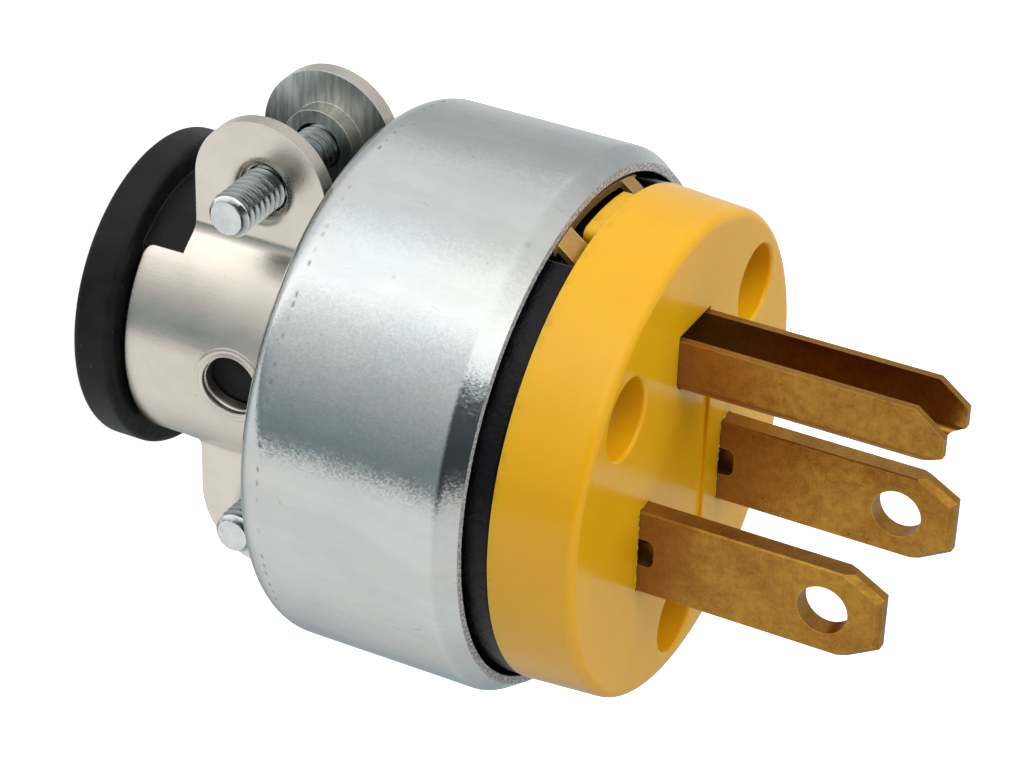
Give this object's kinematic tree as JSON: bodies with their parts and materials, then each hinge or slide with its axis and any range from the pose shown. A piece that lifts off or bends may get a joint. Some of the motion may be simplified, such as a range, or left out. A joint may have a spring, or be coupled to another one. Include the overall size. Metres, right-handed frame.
{
  "type": "heavy-duty plug",
  "caption": "Armoured grounding mains plug: yellow moulded face with flat blades and a folded ground blade, drawn steel casing, stamped cord clamp and rubber cord bushing.",
  "frame": {"origin": "bottom centre of the plug standing on its rubber bushing, on the casing's axis", "axes": "+Z along the plug from the cord end to the blades, +Y towards the ground blade, +X from the neutral blade to the line blade"},
  "size_m": [0.0384, 0.0384, 0.06],
  "materials": {
    "zinc_casing": "bright zinc plate, satin with fine rubbed marks",
    "black_liner": "satin black moulded liner",
    "yellow_body": "glossy yellow moulded plastic",
    "blade_brass": "tarnished rolled brass",
    "strap_brass": "bright rolled brass",
    "clamp_nickel": "polished nickel plate",
    "screw_zinc": "bright zinc plate",
    "terminal_brass": "bright brass",
    "terminal_silver": "nickel plate",
    "terminal_green": "green dyed plate",
    "bushing_rubber": "matt black rubber"
  },
  "bodies": {
    "root": {"steel_casing": "zinc_casing", "insulating_liner": "black_liner", "face_body": "yellow_body", "neutral_blade": "blade_brass", "line_blade": "blade_brass", "ground_blade": "blade_brass", "ground_strap": "strap_brass", "neutral_terminal_screw": "terminal_silver", "line_terminal_screw": "terminal_brass", "ground_terminal_screw": "terminal_green", "near_clamp_half": "clamp_nickel", "far_clamp_half": "clamp_nickel", "upper_clamp_screw": "screw_zinc", "lower_clamp_screw": "screw_zinc", "cord_bushing": "bushing_rubber", "right_assembly_screw": "screw_zinc", "left_assembly_screw": "screw_zinc", "bottom_assembly_screw": "screw_zinc"}
  },
  "joints": []
}
